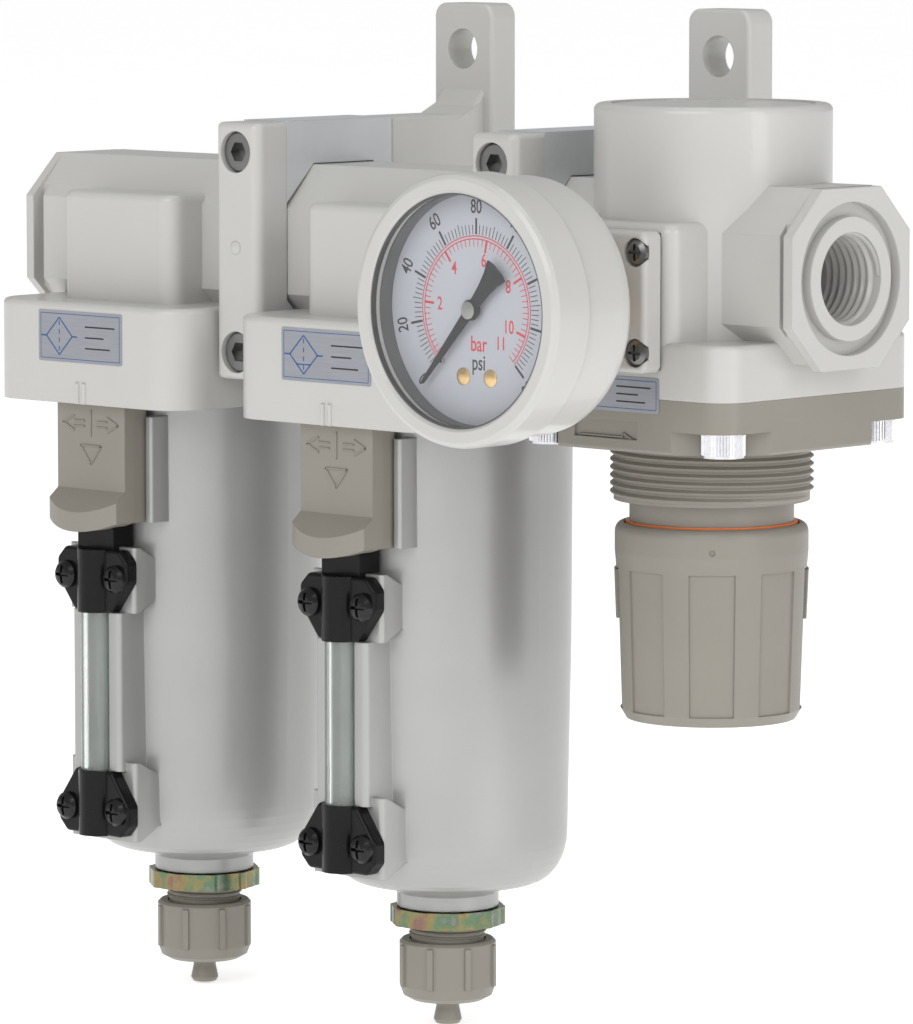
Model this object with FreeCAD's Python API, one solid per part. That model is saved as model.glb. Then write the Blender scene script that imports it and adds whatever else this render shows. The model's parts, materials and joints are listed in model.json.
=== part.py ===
"""Modular compressed-air preparation set for a wall: filter, mist separator and regulator
with a gauge, joined by two clamped spacers. Millimetres. The origin is the centre of the inlet
port's face, +X is the way the air flows, +Y points to the wall and +Z is up."""
import FreeCAD, Part
import math
import os
from FreeCAD import Vector as V

# ---- driving dimensions ----
UNIT_PITCH = 75.0
BODY_LENGTH = 74.0
FILTER_X = BODY_LENGTH / 2
MIST_X = FILTER_X + UNIT_PITCH
REG_X = MIST_X + UNIT_PITCH
JOINT_X = [FILTER_X + UNIT_PITCH / 2, MIST_X + UNIT_PITCH / 2]

FLANGE_HALF = 18.4          # octagonal port flange, half width and half height
FLANGE_CHAMFER = 9.2
FLANGE_THICK = 2.3
GROOVE_END = 4.2            # clamp channel, measured from the port face
GROOVE_HALF = 15.2
PRISM_HALF = 17.2
PORT_R = 9.45               # 1/2 NPT, minor radius
PORT_DEPTH = 16.0
TOP_Z = 18.5

BASE_TOP, BASE_BOTTOM = -12.3, -34.3
BASE_HALF_X, BASE_FRONT, BASE_REAR, BASE_R = 30.0, -37.0, 30.0, 9.0
BLOCK_HALF_X, BLOCK_FRONT, BLOCK_TOP = 17.7, -26.5, 11.4
CAVITY_R, SEAL_R, CAVITY_TOP = 27.1, 25.6, -16.5
LUG_R, LUG_Z, LUG_H = 28.0, -31.4, 2.4

BOWL_R = 26.8
BOWL_WALL = 2.5
NECK_R, NECK_Z = 11.0, -140.3
LATCH_TOP, LATCH_BOTTOM, LATCH_HALF = -34.6, -62.0, 10.6
LATCH_FACE, LATCH_PROW = -34.0, -39.6
BOSS_FRONT = -31.0
TUBE_R, TUBE_Y = 3.7, -32.4
TUBE_BOTTOM, TUBE_TOP = -121.0, -74.0
SIGHT_SCREW_X = 7.7

DRAIN_R = 7.9

REG_HALF_X, REG_HALF_Y, REG_R = 29.5, 30.0, 6.0
REG_BASE_TOP, REG_BASE_BOTTOM = -12.6, -24.0
BONNET_BOTTOM = -35.2
PANEL_R, PANEL_END = 20.25, -47.0
SCREW_GRID = 23.5
KNOB_TOP, KNOB_BOTTOM, KNOB_R = -51.7, -92.4, 20.0
KNOB_PHASE = -3.5           # first grip panel, degrees from +X

GAUGE_Z = -4.3
GAUGE_FRONT, GAUGE_REAR, GAUGE_R = -77.5, -52.0, 27.2
DIAL_Y = -71.0              # printed face
POINTER_Y = -72.9           # front of the blade

SPACER_FRONT, SPACER_REAR, SPACER_HALF = -17.4, 15.0, 6.5
CLAMP_FRONT = -26.5
CLAMP_SCREW_Z = 21.5
WALL_Y, TAB_FRONT, TAB_TOP, TAB_HALF = 52.0, 44.5, 52.0, 8.75
WALL_HOLE_Z, WALL_HOLE_R = 41.9, 4.4


# ---- helpers ----
def box(x0, x1, y0, y1, z0, z1):
    return Part.makeBox(x1 - x0, y1 - y0, z1 - z0, V(x0, y0, z0))


def cyl(r, p, axis, h):
    return Part.makeCylinder(r, h, V(*p), V(*axis))


def prism(points, vec):
    """Closed outline of 3-D points pushed along vec."""
    pts = [V(*p) for p in points]
    return Part.Face(Part.makePolygon(pts + [pts[0]])).extrude(V(*vec))


def revolve(profile, x=0.0, y=0.0):
    """Solid of revolution about the vertical line through (x, y); profile is (r, z) points."""
    pts = [V(x + r, y, z) for r, z in profile]
    face = Part.Face(Part.makePolygon(pts + [pts[0]]))
    return face.revolve(V(x, y, 0), V(0, 0, 1), 360)


def revolve_y(profile, x, z):
    """Solid of revolution about the line along Y through (x, z); profile is (r, y) points."""
    pts = [V(x + r, y, z) for r, y in profile]
    face = Part.Face(Part.makePolygon(pts + [pts[0]]))
    return face.revolve(V(x, 0, z), V(0, 1, 0), 360)


def arc_points(cx, cz, rx, rz, a0, a1, n):
    """Points of an elliptical arc in degrees, for the rounded corner of a profile."""
    angles = [math.radians(a0 + (a1 - a0) * i / n) for i in range(n + 1)]
    return [(cx + rx * math.cos(a), cz + rz * math.sin(a)) for a in angles]


def rounded(shape, radius, chosen):
    """Fillets the edges that the test picks, or leaves the shape as it is if the kernel can't."""
    edges = [e for e in shape.Edges if chosen(e)]
    try:
        made = shape.makeFillet(radius, edges)
    except Part.OCCError:
        return shape
    return made if made.isValid() and made.Volume > 0 else shape


def upright(e):
    if len(e.Vertexes) != 2:
        return False
    a, b = e.Vertexes[0].Point, e.Vertexes[1].Point
    return abs(a.x - b.x) < 1e-6 and abs(a.y - b.y) < 1e-6


def along_x(e):
    if len(e.Vertexes) != 2:
        return False
    a, b = e.Vertexes[0].Point, e.Vertexes[1].Point
    return abs(a.z - b.z) < 1e-6 and abs(a.y - b.y) < 1e-6


def at_z(z):
    return lambda e: abs(e.BoundBox.ZMin - z) < 1e-6 and abs(e.BoundBox.ZMax - z) < 1e-6


def at_y(y):
    return lambda e: abs(e.BoundBox.YMin - y) < 1e-6 and abs(e.BoundBox.YMax - y) < 1e-6


def round_box(x0, x1, y0, y1, z0, z1, corner, top=0.0, bottom=0.0):
    s = rounded(box(x0, x1, y0, y1, z0, z1), corner, upright)
    if top:
        s = rounded(s, top, at_z(z1))
    if bottom:
        s = rounded(s, bottom, at_z(z0))
    return s


def octagon(x0, x1, half, chamfer, top=None):
    """Octagonal bar along X."""
    top = half if top is None else top
    c, h = chamfer, half
    pts = [(x0, -c, top), (x0, c, top), (x0, h, c), (x0, h, -c),
           (x0, c, -h), (x0, -c, -h), (x0, -h, -c), (x0, -h, c)]
    return prism(pts, (x1 - x0, 0, 0))


def turned(shape, x, y, degrees):
    s = shape.copy()
    s.rotate(V(x, y, 0), V(0, 0, 1), degrees)
    return s


def coil(r, wire, z0, z1, turns, x, y):
    """Compression spring: a round wire swept along a helix, standing on z0."""
    pitch = (z1 - z0 - 2 * wire) / turns
    helix = Part.makeHelix(pitch, pitch * turns, r)
    start = helix.Edges[0].valueAt(helix.Edges[0].FirstParameter)
    tangent = helix.Edges[0].tangentAt(helix.Edges[0].FirstParameter)
    section = Part.Wire([Part.makeCircle(wire, start, tangent)])
    s = Part.Wire(helix.Edges).makePipeShell([section], True, True)
    s.translate(V(x, y, z0 + wire))
    return s


def save(name, *solids):
    shape = solids[0] if len(solids) == 1 else Part.makeCompound(list(solids))
    if shape.ShapeType != "Solid" and len(shape.Solids) == 1:
        shape = shape.Solids[0]
    if shape.Volume < 0:
        shape.reverse()
    state = "ok" if shape.isValid() else "INVALID"
    print(f"{name:26s} solids {len(shape.Solids)}  volume {shape.Volume:10.1f}  {state}")
    shape.exportStep(f"parts/{name}.step")


# ---- shared body features ----
def ported_bar(x0, x1):
    """Octagonal body bar with its two port flanges and the vertical channels for the clamps."""
    s = octagon(x0 + FLANGE_THICK, x1 - FLANGE_THICK, PRISM_HALF, FLANGE_CHAMFER, TOP_Z)
    for face, step in ((x0, 1), (x1, -1)):
        a, b = sorted((face, face + step * FLANGE_THICK))
        s = s.fuse(octagon(a, b, FLANGE_HALF, FLANGE_CHAMFER))
    return s


def cut_ports(s, x0, x1):
    for face, step in ((x0, 1), (x1, -1)):
        a, b = sorted((face + step * FLANGE_THICK, face + step * GROOVE_END))
        for y0, y1 in ((-40, -GROOVE_HALF), (GROOVE_HALF, 40)):
            s = s.cut(box(a, b, y0, y1, -12.2, 12.4))
        s = s.cut(cyl(PORT_R, (face, 0, 0), (step, 0, 0), PORT_DEPTH))
        ring = cyl(15.5, (face, 0, 0), (step, 0, 0), 2.2).cut(cyl(12.6, (face, 0, 0), (step, 0, 0), 2.2))
        s = s.cut(ring)
    return s


# ---- filter and mist separator ----
def head(name, x):
    x0, x1 = x - BODY_LENGTH / 2, x + BODY_LENGTH / 2
    s = ported_bar(x0, x1)
    base = round_box(x - BASE_HALF_X, x + BASE_HALF_X, BASE_FRONT, BASE_REAR, BASE_BOTTOM, BASE_TOP,
                     BASE_R, top=1.2)
    for half in (-1.0, 1.0):
        base = base.fuse(cyl(0.5, (x + half, BASE_FRONT, BASE_BOTTOM), (0, 0, 1), 4.6))
    block = round_box(x - BLOCK_HALF_X, x + BLOCK_HALF_X, BLOCK_FRONT, 24.0, BASE_TOP - 2, BLOCK_TOP,
                      4.0, top=1.5)
    s = s.fuse([base, block])
    s = cut_ports(s, x0, x1)
    cavity = cyl(CAVITY_R, (x, 0, BASE_BOTTOM), (0, 0, 1), 8.0)
    cavity = cavity.fuse(cyl(SEAL_R, (x, 0, BASE_BOTTOM), (0, 0, 1), CAVITY_TOP - BASE_BOTTOM))
    ring = cyl(LUG_R + 0.4, (x, 0, LUG_Z - 0.4), (0, 0, 1), LUG_H + 0.8)
    s = s.cut(cavity.fuse(ring))
    for angle in (45, 135, 225, 315):
        slot = box(x + 20, x + LUG_R + 0.4, -5, 5, BASE_BOTTOM, LUG_Z + LUG_H + 0.4)
        s = s.cut(turned(slot, x, 0, angle))
    inlet = cyl(6.0, (x - 15, 0, CAVITY_TOP - 1), (0, 0, 1), -CAVITY_TOP + 1)
    inlet = inlet.fuse(cyl(6.0, (x0 + PORT_DEPTH, 0, 0), (1, 0, 0), 6.0))
    outlet = cyl(7.0, (x, 0, CAVITY_TOP - 1), (0, 0, 1), -CAVITY_TOP + 1)
    outlet = outlet.fuse(cyl(7.0, (x, 0, 0), (1, 0, 0), BODY_LENGTH / 2 - PORT_DEPTH))
    s = s.cut(inlet).cut(outlet)
    nozzle = cyl(11.0, (x, 0, -24.0), (0, 0, 1), 24.0 + CAVITY_TOP)
    nozzle = nozzle.cut(cyl(7.0, (x, 0, -24.0), (0, 0, 1), 24.0 + CAVITY_TOP))
    spider = box(x - 7.5, x + 7.5, -1.5, 1.5, -24.0, -18.0).fuse(cyl(3.6, (x, 0, -24.0), (0, 0, 1), 6.0))
    spider = spider.cut(cyl(2.05, (x, 0, -24.0), (0, 0, 1), 5.0))
    save(f"{name}_body", s.fuse([nozzle, spider]))


def bowl_outline(wall):
    """(r, z) points of the bowl's outside, or of its inside at that wall."""
    w = wall
    side = [(BOWL_R - w, -27.3), (BOWL_R - w, -43.0), (BOWL_R - 0.2 - w, -83.0), (BOWL_R - 1.0 - w, -124.0)]
    return side + arc_points(17.9, -124.0, 7.9 - w, 11.0 - w, 0, -90, 8)[1:]


def sight_boss(x, z0, z1):
    """Seat of one sight bracket; its top and bottom slope towards the bowl."""
    block = round_box(x - 10.3, x + 10.3, BOSS_FRONT, -14.0, z0, z1, 1.0)
    side = [(x - 12, BOSS_FRONT, z0), (x - 12, BOSS_FRONT, z1), (x - 12, -29.5, z1), (x - 12, -24.0, z1 - 3.0),
            (x - 12, -14.0, z1 - 3.0), (x - 12, -14.0, z0 + 3.0), (x - 12, -24.0, z0 + 3.0), (x - 12, -29.5, z0)]
    return block.common(prism(side, (24, 0, 0)))


def bowl(name, x):
    outer = [(0, -18.6), (25.3, -18.6), (25.3, -27.3)] + bowl_outline(0)
    outer += [(NECK_R + 1.2, -136.1), (NECK_R, -137.3), (NECK_R, NECK_Z), (0, NECK_Z)]
    s = revolve(outer, x)
    for z0, z1 in ((-80.0, -65.6), (-130.5, -113.0)):
        s = s.fuse(sight_boss(x, z0, z1))
    fin = round_box(x - 7.5, x + 7.5, -33.0, -14.0, -114.9, -80.0, 1.2)
    s = s.fuse(fin)
    for side in (-1, 1):
        a, b = sorted((x + side * 11.0, x + side * 13.2))
        s = s.fuse(round_box(a, b, -28.5, -20.0, -60.0, -36.9, 0.8))
    s = s.cut(box(x - 4.2, x + 4.2, -40, TUBE_Y + 4.1, TUBE_BOTTOM, TUBE_TOP))
    for angle in (0, 180):
        lug = box(x + 24.5, x + LUG_R, -3.4, 3.4, LUG_Z, LUG_Z + LUG_H)
        lug = lug.common(cyl(LUG_R, (x, 0, LUG_Z), (0, 0, 1), LUG_H))
        s = s.fuse(turned(lug, x, 0, angle))
    inner = [(0, -18.0), (22.3, -18.0), (22.3, -27.3)] + bowl_outline(BOWL_WALL)
    inner += [(0, -132.5)]
    s = s.cut(revolve(inner, x))
    groove = cyl(26.0, (x, 0, -25.2), (0, 0, 1), 2.4).cut(cyl(23.6, (x, 0, -25.2), (0, 0, 1), 2.4))
    s = s.cut(groove).cut(cyl(DRAIN_R + 0.05, (x, 0, -141), (0, 0, 1), 12))
    for z in (-72.3, -123.6):
        for side in (-1, 1):
            s = s.cut(cyl(1.5, (x + side * SIGHT_SCREW_X, BOSS_FRONT - 0.1, z), (0, 1, 0), 5.1))
    for z in (-77.0, -118.0):
        s = s.cut(cyl(1.0, (x, TUBE_Y, z), (0, 1, 0), 12))
    save(f"{name}_bowl", s)
    seal = Part.makeTorus(24.55, 0.92, V(x, 0, -24.0), V(0, 0, 1))
    save(f"{name}_bowl_seal", seal)


def latch(name, x):
    h = LATCH_HALF
    prow_r = (h * h + 3.0 ** 2) / 6.0
    sole_r = (h * h + 2.1 ** 2) / 4.2
    foot = box(x - h, x + h, LATCH_PROW, -31.5, LATCH_BOTTOM, -50.0)
    foot = foot.common(cyl(prow_r, (x, LATCH_PROW + prow_r, -70.0), (0, 0, 1), 25.0))
    foot = foot.common(cyl(sole_r, (x, -45.0, LATCH_BOTTOM + sole_r), (0, 1, 0), 15.0))
    ramp = [(x - 12, LATCH_FACE, -53.2), (x - 12, -44.0, -61.2), (x - 12, -44.0, -45.0), (x - 12, LATCH_FACE, -45.0)]
    foot = foot.cut(prism(ramp, (24, 0, 0)))
    s = box(x - h, x + h, LATCH_FACE, -27.4, -60.0, LATCH_TOP).fuse(foot)
    s = rounded(s, 1.2, lambda e: upright(e) and e.BoundBox.YMax < -33.0 and abs(e.BoundBox.XMin - x) > 1)
    s = s.cut(box(x - 8.0, x + 8.0, -34.6, -27.0, -63.0, -57.2))
    s = s.cut(box(x - 3.0, x + 3.0, -31.9, -27.0, -63.0, -44.0))
    save(f"{name}_latch", s)
    save(f"{name}_latch_spring", coil(1.6, 0.3, -60.9, -44.1, 9, x, -29.6))


def bracket_plate(x, z0, z1):
    """Ear plate that tapers towards the tube; z0 is the wide end, z1 the narrow end."""
    d = 1 if z1 > z0 else -1
    outline = [(-8.5, z0), (8.5, z0), (11.0, z0 + d * 2.6), (11.0, z0 + d * 7.0), (5.6, z1),
               (-5.6, z1), (-11.0, z0 + d * 7.0), (-11.0, z0 + d * 2.6)]
    plate = prism([(x + px, BOSS_FRONT, pz) for px, pz in outline], (0, -3.1, 0))
    plate = rounded(plate, 1.6, lambda e: e.BoundBox.YLength > 3)
    plate = rounded(plate, 0.7, at_y(BOSS_FRONT - 3.1))
    a, b = sorted((z0, z1))
    hump = cyl(TUBE_R + 0.7, (x, TUBE_Y, a), (0, 0, 1), b - a)
    return plate.fuse(hump.common(box(x - 6, x + 6, -40.0, -33.0, a, b)))


def sight_gauge(name, x):
    length = TUBE_TOP - TUBE_BOTTOM
    tube = cyl(TUBE_R, (x, TUBE_Y, TUBE_BOTTOM), (0, 0, 1), length)
    tube = tube.cut(cyl(2.4, (x, TUBE_Y, TUBE_BOTTOM), (0, 0, 1), length))
    save(f"{name}_sight_glass", tube)
    socket = cyl(TUBE_R + 0.05, (x, TUBE_Y, TUBE_BOTTOM), (0, 0, 1), length)
    trim = {"upper": (-66.1, -80.0, -72.3), "lower": (-129.3, -114.9, -123.6)}
    for which, (z0, z1, screw_z) in trim.items():
        s = bracket_plate(x, z0, z1)
        if which == "upper":
            s = s.fuse(box(x - 5.6, x + 5.6, -32.8, BOSS_FRONT, -67.0, -61.0))
            s = s.fuse(box(x - 5.6, x + 5.6, BOSS_FRONT, -26.9, -65.5, -61.0))
        s = s.cut(socket)
        for side in (-1, 1):
            s = s.cut(cyl(1.7, (x + side * SIGHT_SCREW_X, -20, screw_z), (0, -1, 0), 20))
        save(f"{name}_bracket_{which}", s)
    screws = []
    seat = BOSS_FRONT - 3.1
    for z in (-72.3, -123.6):
        for side in (-1, 1):
            sx = x + side * SIGHT_SCREW_X
            pan = revolve_y([(0, seat), (3.0, seat), (3.0, seat - 0.8), (2.4, seat - 1.5), (1.3, seat - 1.9),
                             (0, seat - 2.0)], sx, z)
            pan = pan.fuse(cyl(1.45, (sx, seat, z), (0, 1, 0), 7.5))
            for arm in ((2.0, 0.35), (0.35, 2.0)):
                pan = pan.cut(box(sx - arm[0], sx + arm[0], seat - 3, seat - 0.9, z - arm[1], z + arm[1]))
            screws.append(pan)
    save(f"{name}_sight_screws", *screws)


def insides(name, x, with_deflector):
    top = -25.4 if with_deflector else -24.0
    element = cyl(16.0, (x, 0, -88.0), (0, 0, 1), 88.0 + top).cut(cyl(10.5, (x, 0, -88.0), (0, 0, 1), 88.0 + top))
    save(f"{name}_element", element)
    if with_deflector:
        ring = revolve([(11.1, -24.0), (20.5, -24.0), (21.5, -33.0), (20.0, -33.0), (19.2, -25.4), (11.1, -25.4)], x)
        vane = box(x + 19.4, x + 21.6, -0.5, 0.5, -33.0, -26.0)
        ring = ring.fuse([turned(vane, x, 0, 30 * i) for i in range(12)])
        save(f"{name}_deflector", ring)
    rod = cyl(2.0, (x, 0, -92.0), (0, 0, 1), 72.9)
    plate = revolve([(0, -88.0), (17.5, -88.0), (19.5, -92.5), (18.2, -92.5), (16.6, -89.8), (0, -89.8)], x)
    cap = cyl(10.4, (x, 0, -88.0), (0, 0, 1), 2.0)
    save(f"{name}_baffle", rod.fuse([plate, cap]))


def drain(name, x):
    nut = cyl(12.0, (x, 0, -144.2), (0, 0, 1), 3.7)
    for i in range(10):
        a = 2 * math.pi * i / 10
        nut = nut.fuse(cyl(2.6, (x + 9.9 * math.cos(a), 9.9 * math.sin(a), -144.2), (0, 0, 1), 3.7))
    save(f"{name}_collar_nut", nut.cut(cyl(DRAIN_R + 0.05, (x, 0, -145), (0, 0, 1), 6)))
    s = revolve([(2.75, -130.5), (9.6, -130.5), (9.6, -132.5), (DRAIN_R, -132.5), (DRAIN_R, -151.0),
                 (DRAIN_R - 0.8, -151.8), (2.75, -151.8)], x)
    save(f"{name}_drain_body", s)
    stem = revolve([(1.3, -133.0), (2.5, -133.0), (2.5, -153.6), (4.6, -153.6), (4.6, -155.5), (2.5, -155.5),
                    (2.5, -162.5), (3.05, -165.3), (2.6, -166.1), (1.3, -166.1)], x)
    save(f"{name}_drain_stem", stem)
    knob = revolve([(8.25, -147.6), (9.8, -147.6), (10.4, -148.2), (10.4, -157.6), (9.6, -159.8), (7.8, -160.8),
                    (2.6, -160.8), (2.6, -155.6), (8.25, -155.6)], x)
    for i in range(8):
        rib = box(x + 9.8, x + 10.9, -0.7, 0.7, -157.6, -148.6)
        knob = knob.fuse(turned(rib, x, 0, 45 * i + 22.5))
    save(f"{name}_drain_knob", knob)


# ---- regulator ----
def regulator_body():
    x, x0, x1 = REG_X, REG_X - BODY_LENGTH / 2, REG_X + BODY_LENGTH / 2
    s = ported_bar(x0, x1)
    tower = cyl(24.5, (x, 0, REG_BASE_TOP - 2), (0, 0, 1), 34.5 - REG_BASE_TOP + 2)
    tower = rounded(tower, 1.5, at_z(34.5))
    base = round_box(x - REG_HALF_X, x + REG_HALF_X, -REG_HALF_Y, REG_HALF_Y, REG_BASE_BOTTOM, REG_BASE_TOP,
                     REG_R, top=1.0)
    block = round_box(x - 15.3, x + 15.3, -REG_HALF_Y, REG_HALF_Y, REG_BASE_TOP - 2, 11.3, 3.0, top=2.0)
    s = cut_ports(s.fuse([tower, base, block]), x0, x1)
    s = s.cut(cyl(21.0, (x, 0, 32.8), (0, 0, 1), 5))
    s = s.cut(cyl(9.0, (x, 0, 3.0), (0, 0, 1), 32))
    s = s.cut(cyl(5.5, (x, 0, -1.0), (0, 0, 1), 5))
    s = s.cut(cyl(9.0, (x, 0, -14.0), (0, 0, 1), 14.0))
    s = s.cut(cyl(5.4, (x0 + PORT_DEPTH, 0, 9.4), (1, 0, 0), BODY_LENGTH / 2 - PORT_DEPTH))
    s = s.cut(cyl(5.4, (x, 0, -6.0), (1, 0, 0), BODY_LENGTH / 2 - PORT_DEPTH))
    s = s.cut(cyl(22.0, (x, 0, REG_BASE_BOTTOM), (0, 0, 1), 7.4))
    s = s.cut(cyl(2.15, (x, 0, -18), (0, 0, 1), 6)).cut(cyl(1.2, (x + 6, 0, -18), (0, 0, 1), 6))
    s = s.cut(cyl(5.1, (x, -31, GAUGE_Z), (0, 1, 0), 25))
    for side in (-1, 1):
        for dz in (-10.1, 10.1):
            s = s.cut(cyl(1.5, (x + side * 10.2, -31, GAUGE_Z + dz), (0, 1, 0), 9))
        for dy in (-1, 1):
            s = s.cut(cyl(2.55, (x + side * SCREW_GRID, dy * SCREW_GRID, REG_BASE_BOTTOM - 1), (0, 0, 1), 9.2))
    save("regulator_body", s)
    cap = cyl(20.7, (x, 0, 32.8), (0, 0, 1), 1.4).fuse(cyl(8.9, (x, 0, 24.0), (0, 0, 1), 9.0))
    save("valve_cap", cap.cut(cyl(4.2, (x, 0, 23.0), (0, 0, 1), 7.0)))


def valve_train():
    x = REG_X
    stem = cyl(2.0, (x, 0, -22.4), (0, 0, 1), 26.0)
    poppet = revolve([(0, 3.05), (7.2, 3.05), (7.2, 5.4), (4.0, 7.0), (4.0, 27.0), (0, 27.0)], x)
    save("valve", stem.fuse(poppet))
    save("valve_spring", coil(5.6, 0.6, 7.1, 23.9, 5, x, 0))
    ring = cyl(25.0, (x, 0, -24.9), (0, 0, 1), 0.9).cut(cyl(15.4, (x, 0, -25), (0, 0, 1), 2))
    save("diaphragm", ring)
    save("diaphragm_plate", revolve([(0, -22.4), (8.0, -22.4), (15.1, -23.6), (15.1, -26.0), (0, -26.0)], x))


def bonnet():
    x = REG_X
    s = round_box(x - REG_HALF_X, x + REG_HALF_X, -REG_HALF_Y, REG_HALF_Y, BONNET_BOTTOM, REG_BASE_BOTTOM,
                  REG_R, bottom=0.8)
    s = s.fuse(cyl(PANEL_R, (x, 0, PANEL_END), (0, 0, 1), BONNET_BOTTOM - PANEL_END))
    s = s.fuse(cyl(17.0, (x, 0, -55.0), (0, 0, 1), 9.0))
    s = s.cut(cyl(25.2, (x, 0, -25.0), (0, 0, 1), 2.0))
    s = s.cut(cyl(15.4, (x, 0, -51.0), (0, 0, 1), 30.0)).cut(cyl(4.3, (x, 0, -56.0), (0, 0, 1), 8.0))
    s = s.cut(box(x - 11.0, x + 6.0, -31, -REG_HALF_Y + 0.5, -32.6, -28.9))
    reach = 60.0
    screws = []
    for sx in (-1, 1):
        for sy in (-1, 1):
            cx, cy = x + sx * SCREW_GRID, sy * SCREW_GRID
            a, b = (x + sx * 15.2, sy * REG_HALF_Y), (x + sx * REG_HALF_X, sy * 15.7)
            out = [(a[0], a[1], -36), (b[0], b[1], -36), (b[0] + sx * reach, b[1], -36),
                   (b[0] + sx * reach, sy * reach, -36), (a[0], sy * reach, -36)]
            s = s.cut(prism(out, (0, 0, 5.6)))
            s = s.cut(cyl(4.6, (cx, cy, -36), (0, 0, 1), 5.6)).cut(cyl(2.75, (cx, cy, -36), (0, 0, 1), 13))
            screw = cyl(4.3, (cx, cy, -35.4), (0, 0, 1), 5.0).fuse(cyl(2.5, (cx, cy, -30.5), (0, 0, 1), 14.0))
            screws.append(screw.cut(hex_socket(cx, cy, -35.5, 2.0, 2.6)))
    save("regulator_bonnet", s)
    save("bonnet_screws", *screws)
    lock = cyl(17.75, (x, 0, -53.4), (0, 0, 1), 2.0).cut(cyl(17.0, (x, 0, -54), (0, 0, 1), 4))
    save("lock_ring", lock)


def hex_socket(x, y, z, r, depth):
    pts = [(x + r * math.cos(math.pi * i / 3), y + r * math.sin(math.pi * i / 3), z) for i in range(6)]
    return prism(pts, (0, 0, depth))


def hex_socket_y(x, y, z, r, depth):
    pts = [(x + r * math.cos(math.pi * i / 3), y, z + r * math.sin(math.pi * i / 3)) for i in range(6)]
    return prism(pts, (0, depth, 0))


def adjuster():
    x = REG_X
    screw = cyl(4.0, (x, 0, -88.0), (0, 0, 1), 54.0).fuse(cyl(9.0, (x, 0, -58.6), (0, 0, 1), 3.0))
    save("adjusting_screw", screw)
    seat = cyl(14.6, (x, 0, -46.0), (0, 0, 1), 3.0).cut(cyl(4.1, (x, 0, -47.0), (0, 0, 1), 5.0))
    save("spring_seat", seat)
    save("adjusting_spring", coil(11.0, 1.3, -43.0, -26.1, 3, x, 0))
    outer = [(18.1, KNOB_TOP - 0.3)] + arc_points(18.4, KNOB_TOP - 2.0, 1.6, 2.0, 90, 0, 6)
    outer += [(KNOB_R, -57.5), (19.75, -60.4), (18.75, KNOB_BOTTOM + 2.1), (17.5, KNOB_BOTTOM), (0, KNOB_BOTTOM)]
    outer += [(0, -88.6), (16.0, -88.6), (18.1, -60.0)]
    knob = revolve(outer, x)
    knob = knob.fuse(cyl(6.5, (x, 0, -89.0), (0, 0, 1), 20.0)).cut(cyl(4.1, (x, 0, -88.6), (0, 0, 1), 20.0))
    for i in range(8):
        knob = knob.cut(knob_panel(x, 45 * i + KNOB_PHASE))
    for degrees in (45, 225):
        knob = knob.fuse(knob_pad(x, degrees + KNOB_PHASE))
    dimple = cyl(0.6, (x + KNOB_R - 0.3, 0, -56.3), (1, 0, 0), 1.0)
    knob = knob.cut(turned(dimple, x, 0, KNOB_PHASE - 45))
    save("regulator_knob", knob)


def knob_wedge(x, half_angle, profile):
    """Sector of a turned ring, centred on +X."""
    rise = 40.0 * math.tan(math.radians(half_angle))
    wedge = prism([(x, 0, -95), (x + 40.0, -rise, -95), (x + 40.0, rise, -95)], (0, 0, 40))
    return revolve(profile, x).common(wedge)


def knob_panel(x, degrees):
    """Shallow sunk grip panel that follows the knob's taper."""
    end = KNOB_BOTTOM + 2.1
    return turned(knob_wedge(x, 14, [(19.35, -61.0), (22, -61.0), (22, end), (18.4, end)]), x, 0, degrees)


def knob_pad(x, degrees):
    """Raised grip that fills the top of a panel on each side of the knob."""
    return turned(knob_wedge(x, 9, [(18.4, -61.4), (20.1, -61.4), (19.7, -71.6), (18.4, -71.6)]), x, 0, degrees)


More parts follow.
